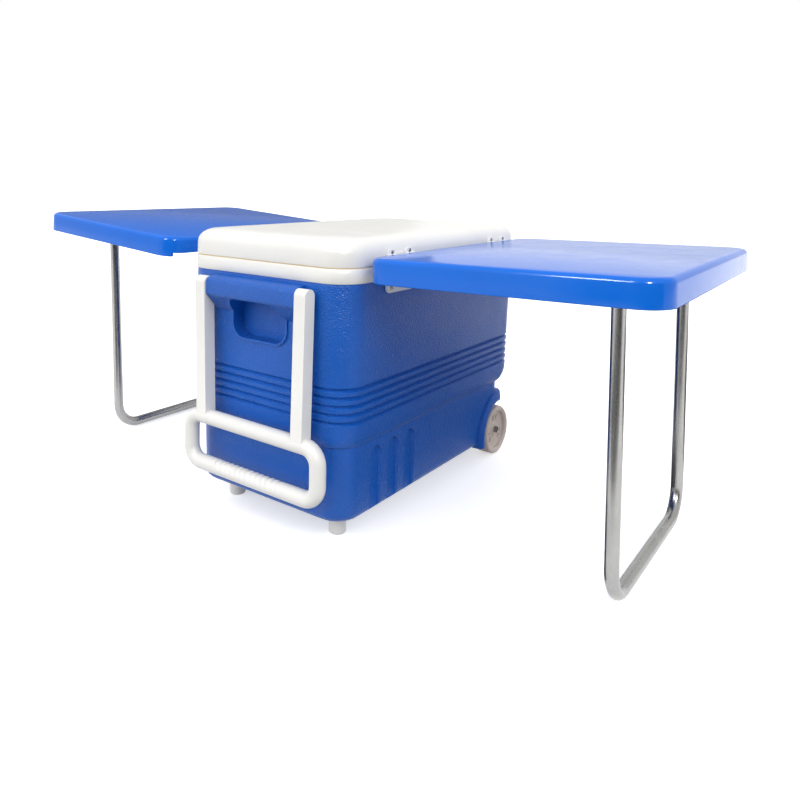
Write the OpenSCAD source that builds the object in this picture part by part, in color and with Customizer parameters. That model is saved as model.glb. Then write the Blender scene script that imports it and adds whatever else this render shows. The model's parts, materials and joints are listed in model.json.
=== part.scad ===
// Wheeled cooler with a table leaf on each side.
// X runs across the leaves, Y from the handle end to the wheel end, Z is up, all in mm.

/* [Body] */
// Width over the rim
body_w = 364; // [330:2:400]
// Length over the rim
body_l = 600; // [540:5:660]
// Radius of the four upright corners
corner_r = 50; // [40:1:60]
// Height of the underside above the floor
under_z = 38; // [32:1:46]
// Height of the step over the lower body
crease_z = 159; // [148:1:166]
// How far the walls draw in from the rim down to the grooves
wall_draft = 6; // [3:0.5:7]
// How far the lower body steps in on the front and the sides
crease_in = 13; // [10:1:16]
// How much further the lower body narrows at its foot
foot_draft = 2; // [0:0.5:4]
// How much further the lower body steps in at the wheel end
rear_in = 26; // [18:1:32]
// Height of the lowest groove
groove_z = 200; // [194:1:206]
// Distance from groove to groove
groove_pitch = 13.25; // [11:0.25:14]
// Number of grooves round the body
groove_count = 5; // [3:1:6]
// Depth of each groove
groove_deep = 2.6; // [1:0.2:3]
// Height where the blue shell ends under the white rim
rim_z = 417; // [405:1:425]
// Height of the white rim band
rim_h = 23.4; // [18:0.2:30]
// Wall of the outer shell
shell_t = 3; // [2:0.5:4]
// Foam between the shell and the tub
foam_t = 26; // [18:1:30]
// Wall of the inner tub
tub_t = 3; // [2:0.5:4]

/* [Lid] */
// Height of the lid over its parting line
lid_h = 47; // [44:1:54]
// Radius round the top edge of the lid
lid_r = 26; // [18:1:30]
// Rise of the crowned top in its middle
lid_crown = 3; // [1:0.5:5]
// Wall of the lid cover
lid_t = 3; // [2:0.5:4]
// Thickness of the seal between lid and rim
seal_t = 1.6; // [1:0.2:3]

/* [Leaves] */
// Length of a leaf, outward from the cooler
leaf_l = 432; // [390:2:440]
// Width of a leaf, along the cooler
leaf_w = 556; // [520:2:600]
// Depth of the skirt round a leaf
skirt_h = 38; // [34:1:44]
// Depth of the skirt on the side of the cooler
inner_skirt_h = 31; // [26:1:31]
// Radius of the leaf's corners seen from above
leaf_r = 40; // [30:1:50]
// Radius round the top edge of a leaf
leaf_edge_r = 8; // [5:1:10]
// Wall of a leaf
leaf_t = 3.5; // [3:0.5:5]
// Upward tilt of the right leaf
tilt_right = 1.25; // [0:0.25:4]
// Upward tilt of the left leaf
tilt_left = 4.3; // [0:0.1:4.5]
// Height of the right leaf's hinge pin over the edge of the shell
leaf_pin_up = 11; // [7:1:15]
// How much higher the left leaf's hinge pin sits
left_rise = 2.5; // [0:0.5:6]
// Distance of the left leaf's pin from the cooler's side
left_reach = 66; // [50:1:72]

/* [Legs] */
// Diameter of the leg tube
tube_d = 19.6; // [18:0.2:22]
// Wall of the leg tube
tube_t = 1.5; // [1:0.1:2]
// Distance between the two upright tubes of a leg
leg_w = 354; // [320:2:380]
// Bend radius of the leg tube
bend_r = 50; // [40:1:60]
// Distance from the hinge pin to the right leg along the leaf
leg_x_right = 352; // [330:1:360]
// Distance from the hinge pin to the left leg along the leaf
leg_x_left = 333; // [320:1:360]
// How far the right leg leans outward at its foot, in degrees
lean_right = 0.5; // [-2:0.1:2]
// How far the left leg leans outward at its foot, in degrees
lean_left = -2.2; // [-3:0.1:2]
// Depth of the leg socket under the leaf's top
socket_deep = 36; // [30:1:40]

/* [Handle] */
// Distance between the middles of the two handle arms
arm_gap = 226; // [212:1:236]
// How far each arm draws in from its pivot down to the loop
arm_toe = 5; // [0:1:8]
// Width of an arm
arm_w = 23; // [20:1:26]
// Depth of an arm
arm_d = 22; // [18:1:24]
// Distance of the handle's pivots below the edge of the shell
pivot_drop = 19; // [17:1:27]
// Distance of the handle's middle plane from the cooler's end
handle_off = 16.5; // [16:0.5:20]
// Diameter of the grip loop's bar
bar_d = 26; // [22:1:28]
// Height of the loop's upper bar
loop_top_z = 166; // [158:1:176]
// Height of the loop's lower bar
loop_low_z = 84; // [80:1:100]
// Distance between the loop's two side bars
loop_w = 288; // [276:2:296]
// Radius of the loop's corners, at the bar's middle
loop_r = 26; // [20:1:34]

/* [Wheels] */
// Diameter of a wheel
wheel_d = 100; // [90:1:104]
// Width of a wheel
wheel_t = 34; // [26:1:36]
// Distance of a wheel's outer face in from the cooler's side
wheel_in = 14; // [10:1:20]
// Distance of the axle from the cooler's rear end
axle_in = 52; // [50:1:58]
// Diameter of the axle
axle_d = 10; // [8:0.5:12]
// Diameter of a front foot
foot_d = 29; // [22:1:32]
// Distance between the two front feet
foot_gap = 234; // [210:2:250]
// Distance of the feet from the cooler's front end
foot_in = 68; // [60:1:90]

/* [Hinges] */
// Distance between the middles of the two hinges on a side
hinge_gap = 348; // [320:2:360]
// How far the pair of hinges sits towards the wheel end
hinge_mid = 12; // [0:1:12]
// Width of a hinge
hinge_w = 80; // [70:1:90]
// Thickness of a hinge plate
plate_t = 3; // [2.5:0.5:3.5]
// Radius of a hinge barrel
barrel_r = 4.5; // [4:0.25:4.75]
// Diameter of a hinge pin
pin_d = 4; // [3:0.5:5]
// Distance of the right pins from the cooler's side
pin_off = 5.6; // [5.6:0.1:6.4]
// Height of the lid's hinge pin over the lid's parting line
lid_pin_h = 11; // [10:0.5:12]

/* [Hidden] */

// Clearances
run_gap = 0.06;
side_gap = 0.4;
seat_gap = 0.3;
cut = 1;
steps = 8;       // facets in each corner of a lofted ring
$fn = 40;

// Places worked out from the sizes above
half_w = body_w / 2;
half_l = body_l / 2;
part_z = rim_z + rim_h;
lid_z = part_z + seal_t;
tub_in = shell_t + foam_t + tub_t;
axle_y = half_l - axle_in;
wheel_x = half_w - wheel_in;
axle_z = wheel_d / 2;
tub_floor = axle_z + axle_d / 2 + 6 + shell_t + foam_t / 2 + tub_t;
wheel_in_x = wheel_x - wheel_t;
well_r = wheel_d / 2 + 8;
well_x = wheel_in_x - 4;
pin_x = half_w + pin_off;
lid_pin_z = lid_z + lid_pin_h;
leaf_pin_z = rim_z + leaf_pin_up;
pivot_z = rim_z - pivot_drop;
splay_right = tilt_right - lean_right;
splay_left = tilt_left - lean_left;
left_pin_x = half_w + left_reach;
left_pin_z = leaf_pin_z + left_rise;
leaf_edge_x = pin_off;
leaf_top = 31;
grip_front = 25;
handle_y = -half_l - handle_off;
grip_h = 62;
toe_at_grip = arm_toe * grip_h / (pivot_z - loop_top_z);
boss_half = arm_gap / 2 - arm_w / 2 - toe_at_grip - side_gap;
frame_x = (right_reach() - left_reach_x()) / 2;
frame_y = (grip_front - handle_off - bar_d / 2) / 2;

function right_reach() = pin_x + turned(leaf_edge_x + leaf_l, leaf_top - skirt_h, tilt_right).x;
function left_reach_x() = left_pin_x + turned(leaf_edge_x + leaf_l, leaf_top - skirt_h, tilt_left).x;
function turned(x, z, a) = [x * cos(a) - z * sin(a), x * sin(a) + z * cos(a)];

// One corner-rounded rectangle as a ring of points at height z
function ring(w, l, r, z, dy = 0) = [
  for (q = [0:3]) for (i = [0:steps])
    let (a = 90 * q + 90 * i / steps,
         sx = q == 0 || q == 3 ? 1 : -1,
         sy = q < 2 ? 1 : -1)
      [sx * (w / 2 - r) + r * cos(a), sy * (l / 2 - r) + r * sin(a) + dy, z]];

// A skin over a stack of rings that have the same number of points
module loft(rings) {
  n = len(rings[0]);
  m = len(rings);
  polyhedron(
    points = [for (r = rings) each r],
    faces = concat(
      [[for (i = [0:n - 1]) i]],
      [[for (i = [0:n - 1]) m * n - 1 - i]],
      [for (k = [0:m - 2]) for (i = [0:n - 1]) [k * n + i, (k + 1) * n + i, (k + 1) * n + (i + 1) % n]],
      [for (k = [0:m - 2]) for (i = [0:n - 1]) [k * n + i, (k + 1) * n + (i + 1) % n, k * n + (i + 1) % n]]));
}

// A ring of the cooler's outline, drawn in by an inset and more at the wheel end
function body_ring(z, inset, rear = 0) =
  ring(body_w - 2 * inset, body_l - 2 * inset - rear, max(corner_r - inset * 0.6, 8), z, -rear / 2);

// A flat rounded rectangle with true arcs
module round_plate(w, l, r) {
  square([w - 2 * r, l], center = true);
  square([w, l - 2 * r], center = true);
  for (x = [-1, 1], y = [-1, 1]) translate([x * (w / 2 - r), y * (l / 2 - r)]) circle(r);
}

// A round bar from one height to another
module bar(r, z0, z1) {
  translate([0, 0, z0]) cylinder(r = r, h = z1 - z0);
}

// Children turned so that their Z axis runs along +X, or along +Y
module along_x() {
  rotate([0, 90, 0]) children();
}
module along_y() {
  rotate([-90, 0, 0]) children();
}

// Children on both hinge places of a side
module hinge_places() {
  for (s = [-1, 1]) translate([0, hinge_mid + s * hinge_gap / 2, 0]) children();
}

// The outer shell from the foot to the rim, as [height, inset, more inset at the wheel end]
low_in = crease_in + foot_draft;
foot_r = 12;
groove_w = 3.4;
bulge_h = 32;
function foot_curve() = [
  for (i = [0:3]) let (a = 30 * i)
    [under_z + foot_r * (1 - cos(a)), low_in + foot_r * (1 - sin(a)), rear_in]];
function step_in(t) = wall_draft + (crease_in - wall_draft) * (1 - sqrt(1 - t * t));
function bulge_curve() = concat(
  [[crease_z - 3, crease_in, rear_in]],
  [for (t = [1, 0.94, 0.8, 0.6, 0.35, 0])
    [crease_z + bulge_h * (1 - t), step_in(t), rear_in * (1 - sqrt(1 - t * t)) * (t == 1 ? 0.9 : 1)]]);
function wall_in(z) = wall_draft * (rim_z - z) / (rim_z - crease_z - bulge_h);
function grooves() = [
  for (g = [0:groove_count - 1]) let (z = groove_z + g * groove_pitch)
    each [
      [z - groove_w, wall_in(z), 0],
      [z - 0.7, wall_in(z) + groove_deep, 0],
      [z + 0.9, wall_in(z) + groove_deep, 0],
      [z + groove_w, wall_in(z) + 0.2, 0]]];
function shell_curve() = concat(foot_curve(), bulge_curve(), grooves(), [[rim_z - 8, 0.4, 0], [rim_z, 1, 0]]);

// Outside of the body without grips and wheel wells
module body_outside() {
  loft([for (p = shell_curve()) body_ring(p[0], p[1], p[2])]);
}

// Hollow of the shell, drawn in by a distance from the outside
module body_inside(t) {
  loft([
    body_ring(under_z + t, low_in + t + 6, rear_in),
    body_ring(under_z + t + 6, low_in + t, rear_in),
    body_ring(crease_z - 2, crease_in + t, rear_in),
    body_ring(crease_z + bulge_h, wall_draft + groove_deep + t),
    body_ring(groove_z + groove_count * groove_pitch, wall_draft + groove_deep + t),
    body_ring(rim_z + cut, groove_deep + t)]);
}

// Space of a wheel and of the axle under the body, grown by a distance
module running_gear_space(t) {
  for (s = [-1, 1]) translate([s * (well_x - t + 60), axle_y, axle_z])
    along_x() cylinder(r = well_r + t, h = 120, center = true);
  for (s = [-1, 1]) translate([s * (well_x - t + 60), axle_y, 0])
    cube([120, 2 * (well_r + t), 2 * axle_z], center = true);
  translate([0, axle_y, axle_z / 2 + t / 2])
    cube([2 * well_x, axle_d + 8 + 2 * t, axle_z + axle_d + 4 + t], center = true);
}

// Rounded fender over the right wheel, standing proud of the lower body
fender_r = 86;
roll_r = 13;
fender_proud = 5;
rear_corner = 42;
fender_end = 18;
function fender_ring(z, rear) =
  ring(body_w, body_l - 2 * fender_end - rear, corner_r + fender_end, z, -rear / 2);
module fender() {
  top = half_w - crease_in + fender_proud - wheel_in_x + 8;
  intersection() {
    translate([wheel_in_x - 8, axle_y, axle_z]) along_x() rotate_extrude($fn = 56) union() {
      square([fender_r, top - roll_r]);
      translate([fender_r - roll_r, top - roll_r]) circle(roll_r);
    }
    loft(concat(
      [fender_ring(under_z - 6, 0)],
      [for (a = [0:15:75]) fender_ring(crease_z + 6 - rear_corner * (1 - sin(a)), rear_corner * (1 - cos(a)))]));
  }
}

// Moulded grip across an end of the cooler; its profile runs in Y and Z
grip_top = rim_z - 3;
module grip_bar() {
  translate([-boss_half, half_l, 0]) rotate([90, 0, 90]) linear_extrude(2 * boss_half)
    polygon(concat(
      [[-20, grip_top], [grip_front - 12, grip_top - 4]],
      [for (a = [75:-25:0]) [grip_front - 8 + 8 * cos(a), grip_top - 14 + 8 * sin(a)]],
      [for (a = [0:-20:-60]) [grip_front - 8 + 8 * cos(a), grip_top - 31 + 8 * sin(a)]],
      [[0, grip_top - grip_h], [-20, grip_top - grip_h - 8]]));
}

// Finger pocket under the grip bar
pocket_w = 118;
pocket_low = rim_z - 107;
pocket_top = rim_z - 40;
pocket_deep = 24;
pocket_r = 24;
pocket_out = 30;
pocket_rim = 3.5;
module pocket_slab(t, y_in, y_out) {
  translate([0, half_l + y_out, (pocket_low + pocket_top) / 2]) rotate([90, 0, 0]) linear_extrude(y_out - y_in)
    round_plate(pocket_w + 2 * t, pocket_top - pocket_low + 2 * t, pocket_r + t);
}
module pocket(t) {
  pocket_slab(t, -pocket_deep - t, pocket_out);
}

// Arched flutes in the lower body near the handle end, open at the foot
arch_w = 35;
arch_first = -half_l + 101;
arch_pitch = 50.5;
arch_deep = 6;
arch_slope = 4;
arch_top = crease_z - 29;
module flute(t) {
  tall = arch_deep + t + 6;
  r_out = arch_w / 2 + t + 2;
  translate([-t, 0, arch_top]) along_x() cylinder(r1 = arch_w / 2 - arch_slope + t, r2 = r_out, h = tall);
  translate([-t, 0, under_z - 20]) linear_extrude(arch_top - under_z + 20) polygon([
    [0, arch_slope - arch_w / 2 - t], [tall, -r_out], [tall, r_out], [0, arch_w / 2 - arch_slope + t]]);
}
module side_flutes(t) {
  for (s = [-1, 1], i = [0:2]) scale([s, 1, 1])
    translate([half_w - crease_in - arch_deep, arch_first + i * arch_pitch, 0]) flute(t);
}

// Cove in the side in front of a fender
cove_r = 8;
cove_up = 3;
module coves(t) {
  for (s = [-1, 1]) translate([s * (half_w - crease_in + cove_up), axle_y, axle_z])
    along_x() rotate_extrude($fn = 56) translate([fender_r + cove_up, 0]) circle(cove_r + t, $fn = 24);
}

module body_shell() {
  color("royalblue") difference() {
    union() {
      difference() {
        body_outside();
        coves(0);
        side_flutes(0);
      }
      for (s = [-1, 1]) {
        scale([s, 1, 1]) fender();
        scale([1, s, 1]) grip_bar();
        scale([1, s, 1]) pocket_slab(pocket_rim, -shell_t - wall_draft, 0);
      }
    }
    difference() {
      body_inside(shell_t);
      running_gear_space(shell_t);
      coves(shell_t);
      side_flutes(shell_t);
      for (s = [-1, 1]) scale([1, s, 1]) pocket(shell_t);
    }
    running_gear_space(0);
    for (s = [-1, 1]) scale([1, s, 1]) pocket(0);
    handle_pin_holes();
    drain_hole(drain_r + seat_gap);
  }
}

module handle_pin_holes() {
  for (s = [-1, 1]) translate([s * (boss_half - pin_in / 2 + cut / 2), handle_y, pivot_z])
    along_x() cylinder(r = handle_pin_r + seat_gap, h = pin_in + cut, center = true);
}
handle_pin_r = 5;
pin_in = 14;

// Drain low in the wheel end
drain_r = 11;
drain_x = 0;
drain_y = half_l - crease_in - rear_in - foot_draft * 0.4;
drain_z = tub_floor + drain_r + 3;
module drain_hole(r) {
  translate([drain_x, drain_y - tub_in - 20, drain_z]) along_y() cylinder(r = r, h = tub_in + 40);
}

// Outside and hollow of the white tub
module tub_outside(t) {
  loft([
    body_ring(tub_floor - tub_t - t, low_in + tub_in - tub_t - t + 12, rear_in),
    body_ring(tub_floor - tub_t - t + 14, low_in + tub_in - tub_t - t, rear_in),
    body_ring(crease_z, low_in + tub_in - tub_t - t, rear_in),
    body_ring(crease_z + bulge_h + 20, wall_draft + tub_in - tub_t - t),
    body_ring(rim_z + cut, tub_in - tub_t - t)]);
}
module tub_hollow() {
  loft([
    body_ring(tub_floor, low_in + tub_in + 10, rear_in),
    body_ring(tub_floor + 14, low_in + tub_in, rear_in),
    body_ring(crease_z, low_in + tub_in, rear_in),
    body_ring(crease_z + bulge_h + 20, wall_draft + tub_in),
    body_ring(part_z + cut, tub_in)]);
}

module insulation() {
  color("lightyellow") difference() {
    intersection() {
      body_inside(shell_t + seat_gap);
      translate([0, 0, rim_z / 2 - seat_gap]) cube([2 * body_w, 2 * body_l, rim_z], center = true);
    }
    tub_outside(seat_gap);
    running_gear_space(shell_t + seat_gap);
    coves(shell_t + seat_gap);
    side_flutes(shell_t + seat_gap);
    for (s = [-1, 1]) scale([1, s, 1]) pocket(shell_t + seat_gap);
    drain_hole(drain_r + seat_gap);
  }
}

// Tub and rim band in one moulding
module liner() {
  color("whitesmoke") difference() {
    union() {
      difference() {
        tub_outside(0);
        running_gear_space(shell_t + seat_gap);
      }
      loft([
        body_ring(rim_z + seat_gap, 0.8),
        body_ring(rim_z + seat_gap + 2, -0.6),
        body_ring(part_z - 2, -0.6),
        body_ring(part_z, 0.8)]);
    }
    difference() {
      tub_hollow();
      running_gear_space(shell_t + seat_gap + tub_t);
    }
    drain_hole(drain_r + seat_gap);
  }
}

// Soft seal on the rim, just inside the parting line
module rim_seal() {
  color("tan") translate([0, 0, part_z]) linear_extrude(seal_t) difference() {
    round_plate(body_w - 4, body_l - 4, corner_r - 2);
    round_plate(body_w - 2 * tub_in + 16, body_l - 2 * tub_in + 16, corner_r - tub_in * 0.6);
  }
}

module front_feet() {
  color("white") for (s = [-1, 1]) translate([s * foot_gap / 2, -half_l + foot_in, 0]) {
    bar(foot_d / 2 - 1.5, 0, 2);
    bar(foot_d / 2, 1.5, under_z);
    difference() {
      bar(foot_d / 2 + 3, under_z - 3, under_z);
      bar(foot_d / 2 - 1, under_z - 4, under_z - 2.9);
    }
  }
}

module axle() {
  color("silver") translate([0, axle_y, axle_z]) along_x() bar(axle_d / 2, -axle_half, axle_half);
}
dish = 8;
hub_x = wheel_x - dish + 2;
cap_out = 3;
axle_half = hub_x + cap_out;

// Saddles that hold the axle up under the body
saddle_x = 70;
saddle_w = 22;
saddle_wall = 3.7;
flange_out = 15;
flange_t = 3.4;
module axle_saddles() {
  color("lightgray") for (s = [-1, 1]) translate([s * saddle_x, axle_y, 0]) difference() {
    union() {
      translate([0, 0, under_z - seat_gap - flange_t / 2])
        cube([saddle_w, axle_d + 2 * (saddle_wall + flange_out), flange_t], center = true);
      translate([0, 0, (under_z + axle_z) / 2])
        cube([saddle_w, axle_d + 2 * saddle_wall, axle_z - under_z + 6], center = true);
    }
    translate([0, 0, axle_z]) along_x() cylinder(d = axle_d + 2 * run_gap, h = saddle_w + 2 * cut, center = true);
  }
}

// Push-on caps that keep the wheels on the axle
module axle_caps() {
  color("silver") for (s = [-1, 1]) translate([s * hub_x, axle_y, axle_z]) rotate([0, s * 90, 0]) difference() {
    bar(axle_d / 2 + 2, side_gap, cap_out + 1.5);
    bar(axle_d / 2, -cut, cap_out);
  }
}

module drain_spout() {
  color("white") translate([drain_x, 0, drain_z]) along_y() difference() {
    union() {
      bar(drain_r, drain_y - tub_in - 6, drain_y + 2);
      bar(drain_r + 5, drain_y + seat_gap, drain_y + 4);
    }
    bar(drain_r - 3, 0, half_l);
  }
}

module drain_plug() {
  color("white") translate([drain_x, 0, drain_z]) along_y() {
    bar(drain_r - 3 - run_gap, drain_y - 16, drain_y + 4.5);
    bar(drain_r + 3, drain_y + 4 + seat_gap, drain_y + 9);
    bar(drain_r - 5, drain_y + 8, drain_y + 14);
  }
}

// Lid cover: rings of the outer skin, then the hollow
function lid_curve(t) = concat(
  [[lid_z, 0.6 + t], [lid_z + 2, t], [lid_z + lid_h - lid_r, 0.4 + t]],
  [for (i = [1:5]) let (a = 15 * i)
    [lid_z + lid_h - lid_crown - (lid_r - lid_crown) * (1 - sin(a)) - t * sin(a), 0.4 + t * cos(a) + lid_r * (1 - cos(a))]],
  [[lid_z + lid_h - lid_crown * 0.7 - t, lid_r + 10],
   [lid_z + lid_h - lid_crown * 0.2 - t, half_w * 0.45],
   [lid_z + lid_h - t, half_w * 0.8]]);
function lid_rings(t) = [for (p = lid_curve(t)) ring(body_w - 2 * p[1], body_l - 2 * p[1],
  max(corner_r - p[1] * 0.45, 12), p[0])];

module lid_cover() {
  color("white") difference() {
    loft(lid_rings(0));
    difference() {
      loft(lid_rings(lid_t));
      translate([0, 0, lid_z - 1]) linear_extrude(2.5) difference() {
        square([2 * body_w, 2 * body_l], center = true);
        round_plate(body_w - 2 * lid_lip, body_l - 2 * lid_lip, corner_r - lid_lip);
      }
    }
    translate([0, 0, lid_z - 1]) linear_extrude(3)
      round_plate(body_w - 2 * lid_lip, body_l - 2 * lid_lip, corner_r - lid_lip);
  }
}
lid_lip = 8;

// Foam that fills the lid between cover and inner panel
module lid_foam() {
  color("lightyellow") difference() {
    loft(lid_rings(lid_t + seat_gap));
    translate([0, 0, lid_z]) cube([2 * body_w, 2 * body_l, 2 * (lid_panel_t + seat_gap)], center = true);
  }
  color("lightyellow") translate([0, 0, lid_z - plug_deep + lid_panel_t + seat_gap])
    linear_extrude(plug_deep + cut) plug_plate(lid_panel_t + seat_gap);
}
lid_panel_t = 3;

// Inner panel with the plug that drops into the tub
plug_gap = 4;
plug_deep = 12;
module plug_plate(t) {
  round_plate(body_w - 2 * (tub_in + plug_gap + t), body_l - 2 * (tub_in + plug_gap + t),
    corner_r - tub_in * 0.6 - plug_gap - t);
}
module lid_liner() {
  color("white") difference() {
    union() {
      translate([0, 0, lid_z]) linear_extrude(lid_panel_t)
        round_plate(body_w - 2 * lid_lip - 1, body_l - 2 * lid_lip - 1, corner_r - lid_lip - 0.5);
      translate([0, 0, lid_z - plug_deep]) linear_extrude(plug_deep) plug_plate(0);
    }
    translate([0, 0, lid_z - plug_deep + lid_panel_t]) linear_extrude(plug_deep + cut) plug_plate(lid_panel_t);
  }
}

// Each hinge has three knuckles: the middle one on the cooler, the outer two on what swings
knuckle_w = hinge_w / 3;
ear_w = 27;
ear_r = 9;
ear_y = hinge_w / 2 - ear_w / 2 - 1;
bridge_h = 6;
screw_r = 3.4;

// Plate in the plane of a wall, with two rounded ears from z_base to z_tip and a bridge between them
module ear_plate(z_tip, z_base) {
  up = z_tip > z_base ? 1 : -1;
  tall = abs(z_tip - z_base);
  rotate([90, 0, 90]) linear_extrude(plate_t) translate([0, z_base]) scale([1, up]) {
    for (s = [-1, 1]) translate([s * ear_y, 0]) {
      translate([-ear_w / 2, 0]) square([ear_w, tall - ear_r]);
      translate([-ear_w / 2 + ear_r, 0]) square([ear_w - 2 * ear_r, tall]);
      for (t = [-1, 1]) translate([t * (ear_w / 2 - ear_r), tall - ear_r]) circle(ear_r);
    }
    translate([-ear_y, tall - ear_r - bridge_h + 3]) square([2 * ear_y, bridge_h]);
  }
}

// Barrel knuckle round a pin along Y, and the pair of outer ones
module knuckle(y) {
  translate([0, y, 0]) along_y() cylinder(r = barrel_r, h = knuckle_w - 2 * side_gap, center = true);
}
module outer_knuckles() {
  for (s = [-1, 1]) knuckle(s * knuckle_w);
}
module pin_bore() {
  along_y() cylinder(d = pin_d + 2 * run_gap, h = 2 * hinge_w, center = true);
}
module hinge_pin(x, z) {
  translate([x, 0, z]) along_y() cylinder(d = pin_d, h = hinge_w + 2, center = true);
}

// Round-headed screws on the ears of a plate
module plate_screws(z) {
  color("dimgray") for (s = [-1, 1]) translate([half_w + seat_gap + plate_t, s * ear_y, z]) along_x() {
    bar(screw_r, 0, 0.9);
    bar(screw_r - 1, 0.9, 1.6);
  }
}

// Fixed plates on the right wall: one strap up the middle holds the leaf's pin and the lid's pin
body_plate_drop = 21;
body_plate_low = rim_z - body_plate_drop;
strap_out = 0.9;
module body_hinge_plates() {
  color("white") hinge_places() difference() {
    union() {
      translate([half_w + seat_gap, 0, 0]) ear_plate(body_plate_low, rim_z - 1);
      translate([half_w + seat_gap, -ear_y, body_plate_low])
        cube([plate_t, 2 * ear_y, body_plate_drop - 1]);
      translate([half_w + strap_out, -knuckle_w / 2 + side_gap, body_plate_low + ear_r])
        cube([pin_off - strap_out, knuckle_w - 2 * side_gap, lid_pin_z - body_plate_low - ear_r]);
      for (z = [leaf_pin_z, lid_pin_z]) translate([pin_x, 0, z]) knuckle(0);
    }
    for (z = [leaf_pin_z, lid_pin_z]) translate([pin_x, 0, z]) pin_bore();
  }
}
module body_hinge_screws() {
  hinge_places() plate_screws(body_plate_low + ear_r - 1);
}

// Plates on the lid, with the outer knuckles on the lid's pin
lid_plate_top = lid_pin_z + 12.5;
module lid_hinge_plates() {
  color("white") hinge_places() difference() {
    union() {
      translate([half_w + seat_gap, 0, 0]) ear_plate(lid_plate_top, lid_pin_z - barrel_r);
      translate([pin_x, 0, lid_pin_z]) outer_knuckles();
      for (s = [-1, 1]) translate([half_w + seat_gap, s * knuckle_w - knuckle_w / 2 + side_gap, lid_pin_z - barrel_r])
        cube([pin_off - seat_gap, knuckle_w - 2 * side_gap, 2 * barrel_r]);
    }
    translate([half_w - cut, -knuckle_w / 2 - side_gap, lid_pin_z - 2 * barrel_r])
      cube([2 * pin_off, knuckle_w + 2 * side_gap, 3 * barrel_r + side_gap]);
    translate([pin_x, 0, lid_pin_z]) pin_bore();
  }
}
module lid_hinge_screws() {
  hinge_places() plate_screws(lid_plate_top - screw_r - 0.8);
}
module lid_hinge_pins() {
  color("silver") hinge_places() hinge_pin(pin_x, lid_pin_z);
}
module leaf_right_pins() {
  color("silver") hinge_places() hinge_pin(pin_x, leaf_pin_z);
}

// Brackets that carry the left leaf clear of the lid
web_w = 8;
web_deep = 36;
module leaf_left_brackets() {
  color("lightgray") scale([-1, 1, 1]) hinge_places() difference() {
    union() {
      translate([half_w + seat_gap, 0, 0]) ear_plate(body_plate_low, rim_z - 1);
      translate([half_w + seat_gap, -web_w / 2, rim_z - web_deep]) cube([plate_t, web_w, web_deep - 1]);
      translate([half_w + seat_gap, web_w / 2, 0]) rotate([90, 0, 0]) linear_extrude(web_w)
        polygon([
          [0, rim_z - web_deep], [8, rim_z - web_deep],
          [left_reach, left_pin_z - barrel_r], [left_reach, left_pin_z + barrel_r],
          [left_reach - 6, left_pin_z + barrel_r], [18, rim_z - 1], [0, rim_z - 1]]);
      translate([left_pin_x, 0, left_pin_z]) knuckle(0);
    }
    translate([left_pin_x, 0, left_pin_z]) pin_bore();
  }
}
module bracket_screws() {
  scale([-1, 1, 1]) hinge_places() plate_screws(body_plate_low + ear_r - 1);
}
module leaf_left_pins() {
  color("silver") scale([-1, 1, 1]) hinge_places() hinge_pin(left_pin_x, left_pin_z);
}

// Everything of a leaf is drawn with its hinge pin at the origin and +X outward, then placed
module on_right() {
  translate([pin_x, 0, leaf_pin_z]) rotate([0, -tilt_right, 0]) children();
}
module on_left() {
  scale([-1, 1, 1]) translate([left_pin_x, 0, left_pin_z]) rotate([0, -tilt_left, 0]) children();
}

// Rings of a leaf: the top edge is rounded, and t is the distance inside the outer face
function leaf_ring(z, inset) = [
  for (p = ring(leaf_l - 2 * inset, leaf_w - 2 * inset, leaf_r - inset, z)) p + [leaf_edge_x + leaf_l / 2, 0, 0]];
function leaf_curve(t) = concat(
  [[leaf_top - skirt_h - (t > 0 ? cut : 0), t]],
  [for (i = [0:3]) let (a = 30 * i)
    [leaf_top - leaf_edge_r + (leaf_edge_r - t) * sin(a), t + (leaf_edge_r - t) * (1 - cos(a))]]);
rib_h = 10;
leaf_arc = leaf_r * (1 - cos(45));
module leaf_top_plate(x, splay) {
  color("royalblue") difference() {
    union() {
      difference() {
        loft([for (p = leaf_curve(0)) leaf_ring(p[0], p[1])]);
        loft([for (p = leaf_curve(leaf_t)) leaf_ring(p[0], p[1])]);
      }
      leaf_ribs();
      leg_sockets(x, splay);
    }
    translate([leaf_edge_x - cut, -leaf_w / 2 + leaf_arc, leaf_top - skirt_h - cut])
      cube([leaf_arc + cut, leaf_w - 2 * leaf_arc, skirt_h - inner_skirt_h + cut]);
    leg_bores(x, splay);
  }
}

// Stiffening ribs under the top, and the pads that the hinge straps are screwed to
module leaf_ribs() {
  for (y = [-1, 0, 1]) translate([leaf_edge_x + leaf_t, y * leaf_w / 4 - 1.5, leaf_top - leaf_t - rib_h])
    cube([leaf_l - 2 * leaf_t, 3, rib_h + 0.5]);
  for (x = [0.4, 0.75]) translate([leaf_edge_x + x * leaf_l, -leaf_w / 2 + leaf_t, leaf_top - leaf_t - rib_h])
    cube([3, leaf_w - 2 * leaf_t, rib_h + 0.5]);
}

// Sockets for the leg tubes
socket_t = 3.2;
tube_gap = 0.3;
module at_leg(x, splay) {
  for (s = [-1, 1]) translate([x, s * leg_w / 2, leaf_top - leaf_t]) rotate([0, splay, 0]) children();
}
module leg_sockets(x, splay) {
  at_leg(x, splay) bar(tube_d / 2 + tube_gap + socket_t, -socket_deep, leaf_t / 2);
}
module leg_bores(x, splay) {
  at_leg(x, splay) bar(tube_d / 2 + tube_gap, -socket_deep - cut, -2);
}

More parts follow.
